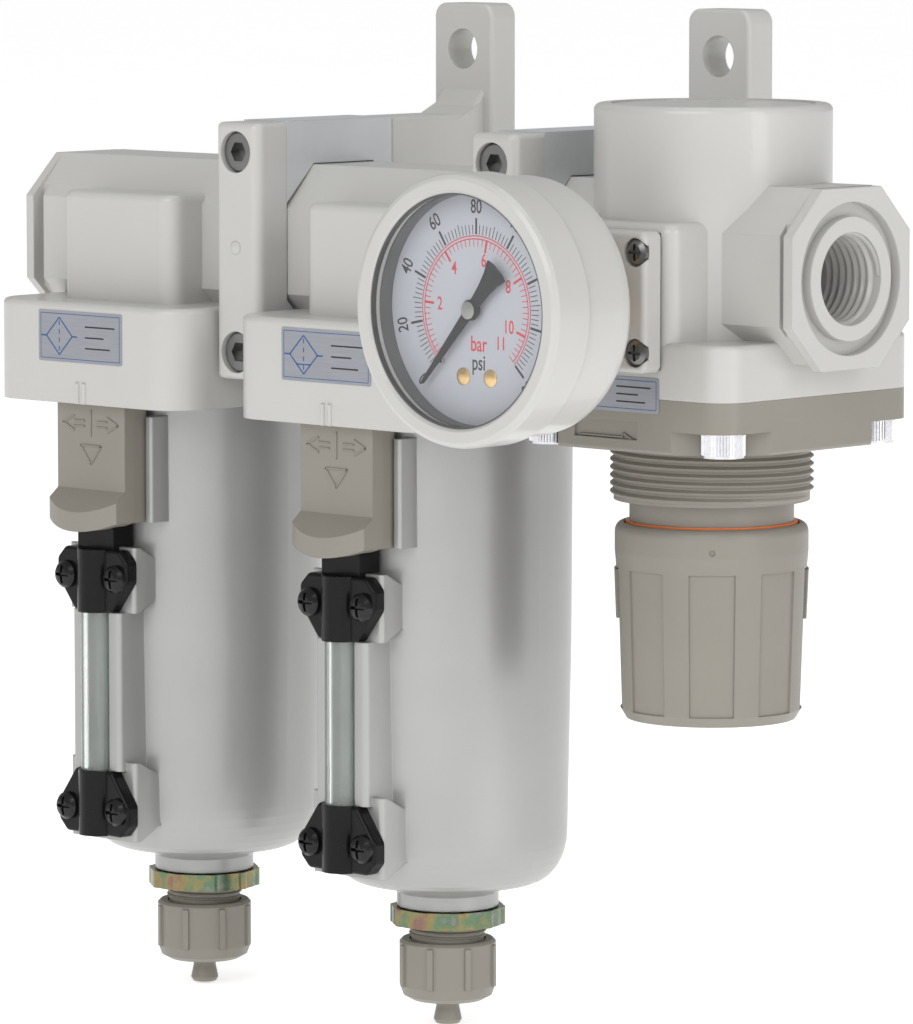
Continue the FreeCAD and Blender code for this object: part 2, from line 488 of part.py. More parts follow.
# ---- gauge ----
def gauge():
    x, z = REG_X, GAUGE_Z
    plate = box(x - 12.8, x + 12.8, -35.5, -30.6, z - 14.25, z + 14.25)
    plate = rounded(rounded(plate, 1.6, lambda e: e.BoundBox.YLength > 4), 1.2, at_y(-35.5))
    gasket = box(x - 12.3, x + 12.3, -30.6, -REG_HALF_Y, z - 13.8, z + 13.8)
    screws = []
    for side in (-1, 1):
        for dz in (-10.1, 10.1):
            sx, sz = x + side * 10.2, z + dz
            plate = plate.cut(cyl(1.7, (sx, -40, sz), (0, 1, 0), 20)).cut(cyl(2.9, (sx, -40, sz), (0, 1, 0), 5.9))
            gasket = gasket.cut(cyl(1.7, (sx, -40, sz), (0, 1, 0), 20))
            pan = revolve_y([(0, -34.1), (2.7, -34.1), (2.6, -35.0), (1.6, -35.6), (0, -35.7)], sx, sz)
            pan = pan.fuse(cyl(1.45, (sx, -34.2, sz), (0, 1, 0), 10.5))
            for arm in ((1.7, 0.3), (0.3, 1.7)):
                pan = pan.cut(box(sx - arm[0], sx + arm[0], -37, -34.7, sz - arm[1], sz + arm[1]))
            screws.append(pan)
    save("gauge_plate", plate.cut(cyl(5.1, (x, -40, z), (0, 1, 0), 20)))
    save("gauge_gasket", gasket.cut(cyl(5.1, (x, -40, z), (0, 1, 0), 20)))
    save("gauge_plate_screws", *screws)

    rim = [(23.3, GAUGE_FRONT + 0.5), (23.8, GAUGE_FRONT), (26.0, GAUGE_FRONT), (26.9, GAUGE_FRONT + 0.5),
           (GAUGE_R, GAUGE_FRONT + 1.4), (GAUGE_R, -67.6), (26.9, -67.1), (26.1, -67.0)]
    back = arc_points(22.0, -56.0, 4.0, 4.0, 0, 90, 5)
    ledge = DIAL_Y + 0.7
    inner = [(5.1, GAUGE_REAR), (5.1, -54.0), (21.8, -54.0), (24.3, -56.5), (24.3, ledge + 0.8),
             (22.2, ledge + 0.8), (22.2, ledge), (23.3, ledge)]
    save("gauge_case", revolve_y(rim + [(26.0, -66.6)] + back + inner, x, z))
    save("gauge_lens", revolve_y([(0, -75.6), (23.25, -75.6), (23.25, -74.4), (0, -74.4)], x, z))
    save("gauge_dial", revolve_y([(1.2, DIAL_Y), (23.25, DIAL_Y), (23.25, ledge), (1.2, ledge)], x, z))
    shaft = cyl(1.0, (x, POINTER_Y + 0.3, z), (0, 1, 0), 8.6)
    front = POINTER_Y - 0.6
    hub = revolve_y([(0, front), (1.5, front), (1.5, front + 0.5), (2.1, front + 0.5), (2.1, front + 1.2),
                     (0, front + 1.2)], x, z)
    half = [(0.35, 19.9), (1.15, 0.0), (1.3, -3.0), (1.55, -5.5), (2.1, -8.2), (2.98, -10.7), (1.5, -11.05)]
    blade = half + [(-px, pz) for px, pz in reversed(half)]
    needle = prism([(x + px, POINTER_Y, z + pz) for px, pz in blade], (0, 0.4, 0))
    needle = needle.fuse(cyl(2.1, (x, POINTER_Y, z), (0, 1, 0), 0.4))
    needle.rotate(V(x, 0, z), V(0, 1, 0), -139)
    save("gauge_pointer", shaft.fuse([hub, needle]))
    hexagon = hex_socket_y(x, -50.0, z, 8.1, 12.0)
    socket = cyl(5.0, (x, -66.0, z), (0, 1, 0), 42.0).cut(cyl(1.5, (x, -58.0, z), (0, 1, 0), 34.0))
    socket = socket.cut(cyl(1.2, (x, -67.0, z), (0, 1, 0), 5.0))
    save("gauge_socket", socket.fuse(hexagon.cut(cyl(3.0, (x, -51, z), (0, 1, 0), 14))))
    tube = revolve_y([(15.0, -64.5), (17.4, -64.5), (17.4, -57.5), (15.0, -57.5)], x, z)
    gap = prism([(x, -70, z), (x + 30, -70, z - 30), (x - 30, -70, z - 30)], (0, 20, 0))
    link = box(x - 13.4, x - 4.0, -63.5, -58.5, z - 2.0, z + 2.0)
    link = link.fuse(box(x - 16.0, x - 13.0, -63.5, -58.5, z - 2.0, z + 2.0))
    save("bourdon_tube", tube.cut(gap).fuse(link.cut(cyl(5.0, (x, -70, z), (0, 1, 0), 20))))


# ---- clamps and wall brackets ----
def clamp_set(index, x):
    hw = SPACER_HALF
    pocket = octagon(x - 10, x + 10, FLANGE_HALF + 0.3, FLANGE_CHAMFER)
    block = box(x - hw, x + hw, SPACER_FRONT, SPACER_REAR, -27.6, 28.0)
    web = box(x - 0.4, x + 0.4, SPACER_FRONT, SPACER_REAR, -27.6, 28.0)
    web = web.cut(cyl(9.6, (x - 2, 0, 0), (1, 0, 0), 4))
    spacer = block.cut(pocket).fuse(web)
    front = box(x - hw, x + hw, CLAMP_FRONT, SPACER_FRONT, -27.4, 27.8)
    front = rounded(front, 2.2, lambda e: upright(e) and e.BoundBox.YMax < CLAMP_FRONT + 0.1)
    front = rounded(front, 1.2, lambda e: along_x(e) and e.BoundBox.YMax < CLAMP_FRONT + 0.1)
    front = front.cut(box(x - 2.95, x + 2.95, -18.7, -10, -18.7, 18.7))
    rear = box(x - hw, x + hw, SPACER_REAR, 22.0, -27.4, 27.8)
    arm = [(x - hw, 22.0, 27.8), (x - hw, 22.0, -27.4), (x - hw, 26.0, -27.4), (x - hw, 36.0, 2.0),
           (x - hw, WALL_Y, 2.0), (x - hw, WALL_Y, 33.0), (x - hw, TAB_FRONT, 33.0), (x - hw, 41.5, 29.4),
           (x - hw, 38.0, 27.8)]
    rear = rear.fuse(prism(arm, (2 * hw, 0, 0)))
    rear = rounded(rear, 1.0, lambda e: e.BoundBox.XLength < 0.01 and e.Length > 4)
    tab = box(x - TAB_HALF, x + TAB_HALF, TAB_FRONT, WALL_Y, 2.0, TAB_TOP)
    tab = rounded(tab, 3.0, lambda e: e.BoundBox.YLength > 7 and e.BoundBox.ZMin > TAB_TOP - 1)
    tab = rounded(tab, 0.9, at_y(TAB_FRONT))
    rear = rear.fuse(tab).cut(cyl(WALL_HOLE_R, (x, 40, WALL_HOLE_Z), (0, 1, 0), 14))
    rear = rear.cut(octagon(x - 2.95, x + 2.95, FLANGE_HALF + 0.3, FLANGE_CHAMFER))
    neck = octagon(x - 10, x + 10, PRISM_HALF + 0.15, FLANGE_CHAMFER, TOP_Z + 0.1)
    rear = rear.cut(neck.cut(box(x - 2.95, x + 2.95, -40, 40, -40, 40)))
    for side in (-1, 1):
        a, b = sorted((x + side * 2.95, x + side * 4.55))
        front = front.fuse(box(a, b, SPACER_FRONT - 0.1, -GROOVE_HALF - 0.1, -11.9, 12.1))
        rear = rear.fuse(box(a, b, GROOVE_HALF + 0.1, 18.0, -11.9, 12.1))
        spacer = spacer.cut(box(a - 0.1, b + 0.1, -18, -GROOVE_HALF, -12.2, 12.4))
    screws = []
    for z in (-CLAMP_SCREW_Z, CLAMP_SCREW_Z):
        front = front.cut(cyl(4.45, (x, CLAMP_FRONT - 1, z), (0, 1, 0), 6.2)).cut(cyl(2.7, (x, -30, z), (0, 1, 0), 20))
        spacer = spacer.cut(cyl(2.7, (x, -20, z), (0, 1, 0), 40))
        rear = rear.cut(cyl(2.55, (x, 14, z), (0, 1, 0), 12))
        head_part = rounded(cyl(4.25, (x, -25.6, z), (0, 1, 0), 4.3), 0.4, at_y(-25.6))
        screw = head_part.fuse(cyl(2.5, (x, -21.4, z), (0, 1, 0), 46.0))
        screws.append(screw.cut(hex_socket_y(x, -25.7, z, 2.3, 2.6)))
    save(f"spacer_{index}", spacer)
    save(f"clamp_front_{index}", front)
    save(f"wall_bracket_{index}", rear)
    return screws


os.makedirs("parts", exist_ok=True)
for unit, centre in (("filter", FILTER_X), ("mist", MIST_X)):
    head(unit, centre)
    bowl(unit, centre)
    latch(unit, centre)
    sight_gauge(unit, centre)
    insides(unit, centre, with_deflector=unit == "filter")
    drain(unit, centre)
regulator_body()
valve_train()
bonnet()
adjuster()
gauge()
clamp_screws = []
for number, plane in enumerate(JOINT_X, start=1):
    clamp_screws += clamp_set(number, plane)
save("clamp_screws", *clamp_screws)
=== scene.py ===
"""Looks of the wall-mounted filter, mist separator and regulator set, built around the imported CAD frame."""
import json
import math

import bmesh
import bpy
from mathutils import Matrix, Vector


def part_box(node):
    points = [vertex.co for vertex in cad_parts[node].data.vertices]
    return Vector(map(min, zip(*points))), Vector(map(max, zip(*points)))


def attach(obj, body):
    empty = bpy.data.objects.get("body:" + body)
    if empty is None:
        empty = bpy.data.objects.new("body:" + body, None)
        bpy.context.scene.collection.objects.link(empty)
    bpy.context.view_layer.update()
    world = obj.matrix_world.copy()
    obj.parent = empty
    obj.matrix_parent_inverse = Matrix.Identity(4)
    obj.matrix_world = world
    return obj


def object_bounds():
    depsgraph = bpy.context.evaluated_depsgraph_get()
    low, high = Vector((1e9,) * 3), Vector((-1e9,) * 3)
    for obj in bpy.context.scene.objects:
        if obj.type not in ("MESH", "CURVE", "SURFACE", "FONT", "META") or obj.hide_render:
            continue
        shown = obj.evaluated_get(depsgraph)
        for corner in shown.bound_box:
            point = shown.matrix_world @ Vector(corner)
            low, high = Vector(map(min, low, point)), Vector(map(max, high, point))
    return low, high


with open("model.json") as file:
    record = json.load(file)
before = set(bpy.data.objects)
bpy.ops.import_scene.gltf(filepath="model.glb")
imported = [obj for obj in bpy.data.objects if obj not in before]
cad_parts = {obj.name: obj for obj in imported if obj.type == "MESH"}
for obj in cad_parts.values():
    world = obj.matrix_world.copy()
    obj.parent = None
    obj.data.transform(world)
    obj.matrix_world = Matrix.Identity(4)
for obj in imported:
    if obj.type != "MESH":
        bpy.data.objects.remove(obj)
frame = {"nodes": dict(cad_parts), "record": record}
cad_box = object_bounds()
NODES = frame["nodes"]
RECORD = frame["record"]
BODY_OF = {n: b for b, ns in RECORD["behaviour"]["bodies"].items() for n in ns}
MM = 0.001


# ---- places, read from the frame ----
def centre_x(node):
    lo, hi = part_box(node)
    return (lo.x + hi.x) / 2


def centre_z(node):
    lo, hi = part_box(node)
    return (lo.z + hi.z) / 2


UNITS = {"filter": centre_x("filter_body"), "mist": centre_x("mist_body")}
REG_X = centre_x("regulator_body")
GAUGE_Z = centre_z("gauge_case")
DIAL_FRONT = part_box("gauge_dial")[0].y
GAUGE_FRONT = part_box("gauge_case")[0].y
DIAL_DEPTH = (DIAL_FRONT - GAUGE_FRONT) / MM
LABEL_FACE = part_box("filter_body")[0].y
LATCH_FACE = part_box("filter_latch")[0].y + 5.6 * MM
BONNET_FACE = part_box("regulator_bonnet")[0].y
INLET_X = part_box("filter_body")[0].x
OUTLET_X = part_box("regulator_body")[1].x


# ---- materials ----
def node_material(name, color, rough, metallic=0.0, vary=0.04, scale=60.0, bump=0.05, bump_scale=900.0,
                  rough_vary=0.06, coat=0.0, edge=0.0, stretch=(1, 1, 1), settings=()):
    """Principled surface whose colour, roughness and relief all come from noise at two scales."""
    mat = bpy.data.materials.new(name)
    mat.use_nodes = True
    tree = mat.node_tree
    shader = tree.nodes["Principled BSDF"]
    coords = tree.nodes.new("ShaderNodeTexCoord")
    mapping = tree.nodes.new("ShaderNodeMapping")
    mapping.inputs["Scale"].default_value = stretch
    tree.links.new(coords.outputs["Object"], mapping.inputs["Vector"])
    broad = tree.nodes.new("ShaderNodeTexNoise")
    broad.inputs["Scale"].default_value = scale
    broad.inputs["Detail"].default_value = 4
    fine = tree.nodes.new("ShaderNodeTexNoise")
    fine.inputs["Scale"].default_value = bump_scale
    fine.inputs["Detail"].default_value = 3
    for noise in (broad, fine):
        tree.links.new(mapping.outputs["Vector"], noise.inputs["Vector"])
    ramp = tree.nodes.new("ShaderNodeValToRGB")
    ramp.color_ramp.elements[0].position = 0.3
    ramp.color_ramp.elements[1].position = 0.7
    ramp.color_ramp.elements[0].color = [c * (1 - vary) for c in color] + [1]
    ramp.color_ramp.elements[1].color = [min(1, c * (1 + vary)) for c in color] + [1]
    tree.links.new(broad.outputs["Fac"], ramp.inputs["Fac"])
    tree.links.new(ramp.outputs["Color"], shader.inputs["Base Color"])
    spread = tree.nodes.new("ShaderNodeMapRange")
    spread.inputs["To Min"].default_value = max(0.02, rough - rough_vary)
    spread.inputs["To Max"].default_value = rough + rough_vary
    tree.links.new(fine.outputs["Fac"], spread.inputs["Value"])
    tree.links.new(spread.outputs["Result"], shader.inputs["Roughness"])
    relief = tree.nodes.new("ShaderNodeBump")
    relief.inputs["Strength"].default_value = bump
    relief.inputs["Distance"].default_value = 0.0002
    tree.links.new(fine.outputs["Fac"], relief.inputs["Height"])
    if edge:
        soft = tree.nodes.new("ShaderNodeBevel")
        soft.samples = 4
        soft.inputs["Radius"].default_value = edge
        tree.links.new(soft.outputs["Normal"], relief.inputs["Normal"])
    tree.links.new(relief.outputs["Normal"], shader.inputs["Normal"])
    shader.inputs["Metallic"].default_value = metallic
    shader.inputs["Coat Weight"].default_value = coat
    for socket, value in settings:
        shader.inputs[socket].default_value = value
    return mat


def iridescent_zinc(name):
    """Yellow-passivated zinc: its tint runs through olive, pink and green in broad patches."""
    mat = node_material(name, (0.6, 0.6, 0.5), 0.28, metallic=1.0, scale=200.0, bump=0.1)
    ramp = next(n for n in mat.node_tree.nodes if n.type == "VALTORGB").color_ramp
    tints = [(0.30, (0.24, 0.14, 0.12)), (0.42, (0.26, 0.22, 0.10)), (0.55, (0.12, 0.20, 0.13)),
             (0.7, (0.30, 0.22, 0.22))]
    ramp.elements[0].position, ramp.elements[1].position = tints[0][0], tints[-1][0]
    ramp.elements[0].color, ramp.elements[1].color = tints[0][1] + (1,), tints[-1][1] + (1,)
    for place, tint in tints[1:-1]:
        ramp.elements.new(place).color = tint + (1,)
    return mat


MATS = {
    "body_paint": node_material("body_paint", (0.50, 0.495, 0.475), 0.34, vary=0.015, bump=0.10,
                                bump_scale=1400, coat=0.25, edge=0.0004),
    "bowl_paint": node_material("bowl_paint", (0.40, 0.40, 0.395), 0.38, metallic=0.5, vary=0.02, bump=0.10,
                                bump_scale=1800, coat=0.2, edge=0.0004),
    "taupe_plastic": node_material("taupe_plastic", (0.245, 0.228, 0.195), 0.42, vary=0.03, bump=0.12,
                                   bump_scale=1500, edge=0.0003),
    "black_plastic": node_material("black_plastic", (0.006, 0.006, 0.006), 0.25, vary=0.2, bump=0.2,
                                   bump_scale=700, edge=0.0003, settings=[("Specular IOR Level", 0.18)]),
    "black_steel": node_material("black_steel", (0.02, 0.02, 0.02), 0.25, metallic=0.6, vary=0.2, bump=0.1),
    "sight_glass": node_material("sight_glass", (0.86, 0.90, 0.87), 0.08, vary=0.03, bump=0.0,
                                 rough_vary=0.03, settings=[("Transmission Weight", 0.9), ("IOR", 1.45)]),
    "gauge_lens": node_material("gauge_lens", (0.95, 0.97, 0.98), 0.05, vary=0.01, bump=0.0, rough_vary=0.02,
                                settings=[("Alpha", 0.04), ("Specular IOR Level", 0.1)]),
    "seal_rubber": node_material("seal_rubber", (0.02, 0.02, 0.02), 0.6, vary=0.2, bump=0.2),
    "spring_steel": node_material("spring_steel", (0.5, 0.5, 0.52), 0.3, metallic=1.0, bump=0.05),
    "stainless": node_material("stainless", (0.56, 0.54, 0.52), 0.24, metallic=1.0, vary=0.15, scale=400,
                               bump=0.15),
    "zinc_plate": iridescent_zinc("zinc_plate"),
    "spacer_aluminium": node_material("spacer_aluminium", (0.56, 0.575, 0.59), 0.45, metallic=0.3, vary=0.03,
                                      scale=120, bump=0.2, bump_scale=1100, edge=0.0003),
    "brass": node_material("brass", (0.72, 0.50, 0.22), 0.28, metallic=1.0, vary=0.1, bump=0.1),
    "element_media": node_material("element_media", (0.75, 0.73, 0.66), 0.8, vary=0.08, bump=0.6),
    "inner_plastic": node_material("inner_plastic", (0.6, 0.59, 0.55), 0.5, bump=0.1),
    "orange_plastic": node_material("orange_plastic", (0.80, 0.20, 0.04), 0.35, bump=0.1),
    "dial_white": node_material("dial_white", (0.42, 0.435, 0.48), 0.5, vary=0.01, bump=0.03),
    "pointer_black": node_material("pointer_black", (0.008, 0.008, 0.008), 0.5, vary=0.1, bump=0.05,
                                   settings=[("Specular IOR Level", 0.1)]),
}
LOOKS = {
    "print_black": node_material("print_black", (0.01, 0.01, 0.012), 0.5, vary=0.1, bump=0.02),
    "print_red": node_material("print_red", (0.55, 0.02, 0.03), 0.5, vary=0.08, bump=0.02),
    "print_blue": node_material("print_blue", (0.03, 0.09, 0.25), 0.4, vary=0.06, bump=0.02),
    "label_silver": node_material("label_silver", (0.30, 0.31, 0.34), 0.35, metallic=0.35, vary=0.05,
                                  scale=200, bump=0.15, stretch=(1, 1, 12)),
    "bright_zinc": node_material("bright_zinc", (0.72, 0.72, 0.75), 0.25, metallic=1.0, vary=0.08, bump=0.1),
    # painted shade: dark grey laid on the inside wall of the gauge bezel, where the recess is shaded
    "bezel_painted_shade": node_material("bezel_painted_shade", (0.09, 0.09, 0.088), 0.4, vary=0.1, bump=0.1),
    "dark_steel": node_material("dark_steel", (0.20, 0.20, 0.195), 0.3, metallic=0.9, vary=0.15, bump=0.15),
    "silver_cap": node_material("silver_cap", (0.30, 0.30, 0.29), 0.3, metallic=0.9, vary=0.1, bump=0.2),
}
NODE_LOOKS = {"bonnet_screws": LOOKS["bright_zinc"], "clamp_screws": LOOKS["dark_steel"],
              "gauge_plate_screws": LOOKS["dark_steel"]}


def finish_cad_nodes():
    """Gives every CAD node its slot's material, and smooth shading with its real corners kept sharp."""
    for entry in RECORD["subparts"]:
        node = NODES[entry["node"]]
        node.data.materials.clear()
        node.data.materials.append(NODE_LOOKS.get(entry["node"], MATS[entry["material_slot"]]))
        node.data.shade_smooth()
        node.data.set_sharp_from_angle(angle=math.radians(28))


# ---- mesh helpers ----
class Builder:
    """Collects vertices and faces in millimetres or metres, and makes one riding piece of them."""

    def __init__(self):
        self.verts = []
        self.faces = []

    def add(self, verts, faces):
        start = len(self.verts)
        self.verts += [tuple(v) for v in verts]
        self.faces += [tuple(i + start for i in f) for f in faces]

    def slab(self, outline, lift, thick):
        """Closed plate on a plane: outline is 3-D points, lift the direction that it stands proud."""
        n = len(outline)
        low = [Vector(p) for p in outline]
        high = [p + Vector(lift) * thick for p in low]
        rim = [(i, (i + 1) % n, (i + 1) % n + n, i + n) for i in range(n)]
        self.add(low + high, rim + [tuple(range(n - 1, -1, -1)), tuple(range(n, 2 * n))])

    def piece(self, name, body, mat, slot, smooth=0.0):
        mesh = bpy.data.meshes.new(name)
        mesh.from_pydata(self.verts, [], self.faces)
        mesh.materials.append(mat)
        mesh.validate()
        obj = bpy.data.objects.new(name, mesh)
        bpy.context.scene.collection.objects.link(obj)
        recalculate_normals(mesh)
        if smooth:
            mesh.shade_smooth()
            mesh.set_sharp_from_angle(angle=math.radians(smooth))
        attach(obj, body)
        return obj


def recalculate_normals(mesh):
    bm = bmesh.new()
    bm.from_mesh(mesh)
    bmesh.ops.recalc_face_normals(bm, faces=bm.faces)
    bm.to_mesh(mesh)
    bm.free()


def helix_ridge(b, root, crest, pitch, length, place, steps=64):
    """One V-shaped thread ridge; place turns (radial, angle, along) into a point in the row frame."""
    turns = length / pitch - 1.0
    count = int(turns * steps)
    fade = steps / 4
    rings = []
    for i in range(count + 1):
        angle = 2 * math.pi * i / steps
        grow = min(1.0, i / fade, (count - i) / fade)
        top = root + (crest - root) * max(grow, 0.02)
        mid = pitch * (0.5 + i / steps)
        rings.append([place(root - 0.1 * MM * (1 if crest > root else -1), angle, mid - 0.46 * pitch),
                      place(top, angle, mid - 0.07 * pitch), place(top, angle, mid + 0.07 * pitch),
                      place(root - 0.1 * MM * (1 if crest > root else -1), angle, mid + 0.46 * pitch)])
    verts = [p for ring in rings for p in ring]
    faces = []
    for i in range(count):
        for k in range(4):
            faces.append((4 * i + k, 4 * i + (k + 1) % 4, 4 * i + 4 + (k + 1) % 4, 4 * i + 4 + k))
    faces += [(3, 2, 1, 0), (4 * count, 4 * count + 1, 4 * count + 2, 4 * count + 3)]
    b.add(verts, faces)


def round_disc(b, centre, radius, depth, normal, rounded=0.35, steps=32):
    """Low domed disc standing out of a face along normal."""
    axis = Vector(normal).normalized()
    side = axis.orthogonal().normalized()
    other = axis.cross(side)
    rows = [(radius, 0.0), (radius, depth * (1 - rounded)), (radius * (1 - rounded * 0.5), depth)]
    verts = []
    for r, h in rows:
        for i in range(steps):
            a = 2 * math.pi * i / steps
            verts.append(Vector(centre) + side * r * math.cos(a) + other * r * math.sin(a) + axis * h)
    faces = []
    for k in range(len(rows) - 1):
        for i in range(steps):
            j = (i + 1) % steps
            faces.append((k * steps + i, k * steps + j, (k + 1) * steps + j, (k + 1) * steps + i))
    faces += [tuple(range(steps - 1, -1, -1)), tuple(range(2 * steps, 3 * steps))]
    b.add(verts, faces)


def stroke(b, p, q, width, at, lift, thick):
    """Straight raised line between two 2-D points; at turns them into points on the face."""
    d = Vector((q[0] - p[0], q[1] - p[1]))
    n = Vector((-d.y, d.x)).normalized() * width / 2
    corners = [(p[0] + n.x, p[1] + n.y), (q[0] + n.x, q[1] + n.y), (q[0] - n.x, q[1] - n.y),
               (p[0] - n.x, p[1] - n.y)]
    b.slab([at(*c) for c in corners], lift, thick)


def strokes(b, path, width, at, lift, thick, closed=False):
    pairs = list(zip(path, path[1:] + (path[:1] if closed else [])))
    for p, q in pairs:
        stroke(b, p, q, width, at, lift, thick)


def letters(b, text, size, place, squeeze=0.78):
    """Flat lettering as mesh; place is a matrix whose X and Y lie along and up the text."""
    curve = bpy.data.curves.new("letters", "FONT")
    curve.body = text
    curve.size = size
    curve.align_x = "CENTER"
    curve.align_y = "CENTER"
    curve.extrude = 0.01 * MM
    curve.offset = size * 0.012
    obj = bpy.data.objects.new("letters", curve)
    bpy.context.scene.collection.objects.link(obj)
    bpy.context.view_layer.update()
    mesh = bpy.data.meshes.new_from_object(obj.evaluated_get(bpy.context.evaluated_depsgraph_get()))
    squash = Matrix.Diagonal((squeeze, 1, 1, 1))
    b.add([place @ squash @ v.co for v in mesh.vertices], [tuple(f.vertices) for f in mesh.polygons])
    bpy.data.objects.remove(obj)


# ---- gauge dial ----
SCALE_START, SCALE_SWEEP = -135.0, 270.0
PSI_FULL, BAR_FULL = 160.0, 11.03
PSI_R, PSI_NUMBERS_R = 14.9 * MM, 20.3 * MM
BAR_R = 14.0 * MM
RING_GAP = 0.6 * MM           # between the two red rings
INK = 0.02 * MM               # thickness of every print


def on_dial(x, z):
    return Vector((REG_X + x, DIAL_FRONT - 0.005 * MM, GAUGE_Z + z))


def dial_angle(share):
    return math.radians(SCALE_START + SCALE_SWEEP * share)


def dial_point(angle, radius):
    return (radius * math.sin(angle), radius * math.cos(angle))


def dial_text(b, text, size, x, z, turn=0.0):
    upright = Matrix.Rotation(math.pi / 2, 4, "X")
    face = Matrix.Translation(on_dial(x, z)) @ Matrix.Rotation(turn, 4, "Y") @ upright
    letters(b, text, size, face)


def dial_ring(b, radius, width, start, end, steps=120):
    angles = [start + (end - start) * i / steps for i in range(steps + 1)]
    outer = [on_dial(*dial_point(a, radius + width / 2)) for a in angles]
    inner = [on_dial(*dial_point(a, radius - width / 2)) for a in reversed(angles)]
    n = len(angles)
    lift = Vector((0, -0.02 * MM, 0))
    low = outer + inner
    verts = low + [p + lift for p in low]
    faces = []
    for i in range(n - 1):
        j = 2 * n - 1 - i
        faces.append((i, i + 1, j - 1, j))
        faces.append((j + 2 * n, j - 1 + 2 * n, i + 1 + 2 * n, i + 2 * n))
    for i in range(2 * n):
        k = (i + 1) % (2 * n)
        faces.append((i, i + 2 * n, k + 2 * n, k))
    b.add(verts, faces)


def make_dial():
    black, red = Builder(), Builder()
    up = (0, -1, 0)
    for step in range(81):
        value = step * 2
        angle = dial_angle(value / PSI_FULL)
        major = value % 20 == 0
        length, width = (3.2, 0.5) if major else (2.4 if value % 10 == 0 else 1.9, 0.17)
        start, end = dial_point(angle, PSI_R), dial_point(angle, PSI_R + length * MM)
        stroke(black, start, end, width * MM, on_dial, up, INK)
        if major:
            dial_text(black, str(value), 3.9 * MM, *dial_point(angle, PSI_NUMBERS_R), turn=angle)
    for step in range(56):
        value = step * 0.2
        angle = dial_angle(value / BAR_FULL)
        major = step % 10 == 0 and step > 0
        length, width = (2.5, 0.5) if major else (1.5, 0.17)
        start, end = dial_point(angle, BAR_R), dial_point(angle, BAR_R - length * MM)
        stroke(red, start, end, width * MM, on_dial, up, INK)
    for value in (2, 4, 6, 8, 10, 11):
        place = dial_point(dial_angle(value / BAR_FULL), (9.9 if value < 10 else 9.3) * MM)
        dial_text(red, str(value), 3.7 * MM, *place)
    for radius in (BAR_R, BAR_R + RING_GAP):
        dial_ring(red, radius, 0.22 * MM, dial_angle(0), dial_angle(1))
    dial_text(red, "bar", 4.3 * MM, 0.7 * MM, -6.9 * MM)
    dial_text(black, "psi", 4.3 * MM, 0.7 * MM, -10.6 * MM)
    black.piece("dial_print_black", BODY_OF["gauge_dial"], LOOKS["print_black"], "pointer_black")
    red.piece("dial_print_red", BODY_OF["gauge_dial"], LOOKS["print_red"], "pointer_black")
    pins = Builder()
    for x in (-3.4, 3.9):
        seat = on_dial(x * MM, -13.4 * MM)
        round_disc(pins, seat, 1.75 * MM, 0.35 * MM, up, 0.6)
        round_disc(pins, seat + Vector((0, -0.35 * MM, 0)), 0.9 * MM, 0.1 * MM, up, 0.6)
    pins.piece("dial_screws", BODY_OF["gauge_dial"], MATS["brass"], "brass", smooth=40)
    stop = Builder()
    round_disc(stop, on_dial(-9.0 * MM, -10.6 * MM), 0.55 * MM, 0.8 * MM, up, 0.5)
    stop.piece("pointer_stop", BODY_OF["gauge_dial"], MATS["stainless"], "stainless", smooth=40)
    cap = Builder()
    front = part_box("gauge_pointer")[0].y
    round_disc(cap, (REG_X, front, GAUGE_Z), 1.75 * MM, 0.12 * MM, up, 0.4)
    cap.piece("pointer_cap", BODY_OF["gauge_pointer"], LOOKS["silver_cap"], "stainless", smooth=40)


def make_bezel_wall():
    """Dark grey liner on the inside wall of the bezel, in front of the lens and behind it: painted shade
    where that recess lies in shadow.
    """
    b = Builder()
    for start, end in ((0.6, 1.85), (3.15, DIAL_DEPTH - 0.05)):
        ring = [(23.0, start), (23.27, start), (23.27, end), (23.0, end)]
        n = 96
        turns = [2 * math.pi * i / n for i in range(n)]
        verts = [Vector((REG_X + r * MM * math.sin(a), GAUGE_FRONT + y * MM, GAUGE_Z + r * MM * math.cos(a)))
                 for a in turns for r, y in ring]
        faces = [(4 * i + k, 4 * i + (k + 1) % 4, 4 * ((i + 1) % n) + (k + 1) % 4, 4 * ((i + 1) % n) + k)
                 for i in range(n) for k in range(4)]
        b.add(verts, faces)
    b.piece("bezel_shade_liner", BODY_OF["gauge_case"], LOOKS["bezel_painted_shade"], "body_paint", smooth=40)


# ---- threads ----
def make_threads():
    port_root, port_crest, port_pitch = 9.42 * MM, 8.75 * MM, 1.814 * MM
    for name, x, step in (("inlet_thread", INLET_X, 1), ("outlet_thread", OUTLET_X, -1)):

        def in_port(r, a, along):
            return Vector((x + step * (along + 0.2 * MM), r * math.cos(a), r * math.sin(a)))

        b = Builder()
        helix_ridge(b, port_root, port_crest, port_pitch, 15.5 * MM, in_port)
        b.piece(name, "manifold", MATS["body_paint"], "body_paint", smooth=50)
    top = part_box("regulator_bonnet")[1].z - 11.3 * MM
    b = Builder()
    helix_ridge(b, 20.25 * MM, 21.0 * MM, 1.65 * MM, 11.7 * MM,
                lambda r, a, along: Vector((REG_X + r * math.cos(a), r * math.sin(a), top - along)), steps=96)
    b.piece("panel_thread", BODY_OF["regulator_bonnet"], MATS["taupe_plastic"], "taupe_plastic", smooth=40)
    for unit, x in UNITS.items():
        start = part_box(f"{unit}_collar_nut")[0].z

        def on_drain(r, a, along):
            return Vector((x + r * math.cos(a), r * math.sin(a), start - along))

        b = Builder()
        helix_ridge(b, 7.88 * MM, 8.35 * MM, 1.0 * MM, 3.3 * MM, on_drain, steps=72)
        b.piece(f"{unit}_drain_thread", BODY_OF[f"{unit}_drain_body"], MATS["taupe_plastic"], "taupe_plastic",
                smooth=40)


